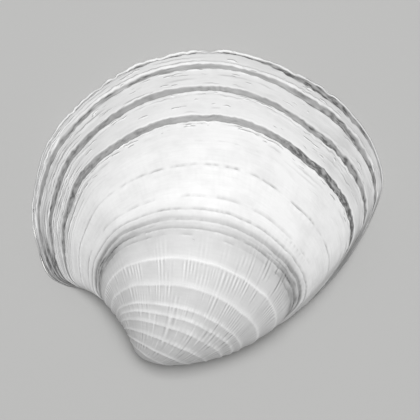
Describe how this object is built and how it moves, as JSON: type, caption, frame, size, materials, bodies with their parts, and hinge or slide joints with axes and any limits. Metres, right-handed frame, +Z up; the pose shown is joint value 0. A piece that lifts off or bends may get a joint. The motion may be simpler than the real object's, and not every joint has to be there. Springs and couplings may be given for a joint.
{
  "type": "cockle shell",
  "caption": "One loose valve of a ridged cockle: a domed, concentrically ridged seashell with a curled beak, hollow below, resting on its flat rim.",
  "frame": {"origin": "middle of the footprint, in the plane of the rim that the valve rests on", "axes": "+X along the hinge towards the hind (siphon) end, +Y from the beak across to the open edge, +Z up through the domed outside"},
  "size_m": [0.05, 0.0448, 0.0152],
  "materials": {
    "shell": "satin"
  },
  "bodies": {
    "root": {"valve": "shell"}
  },
  "joints": []
}
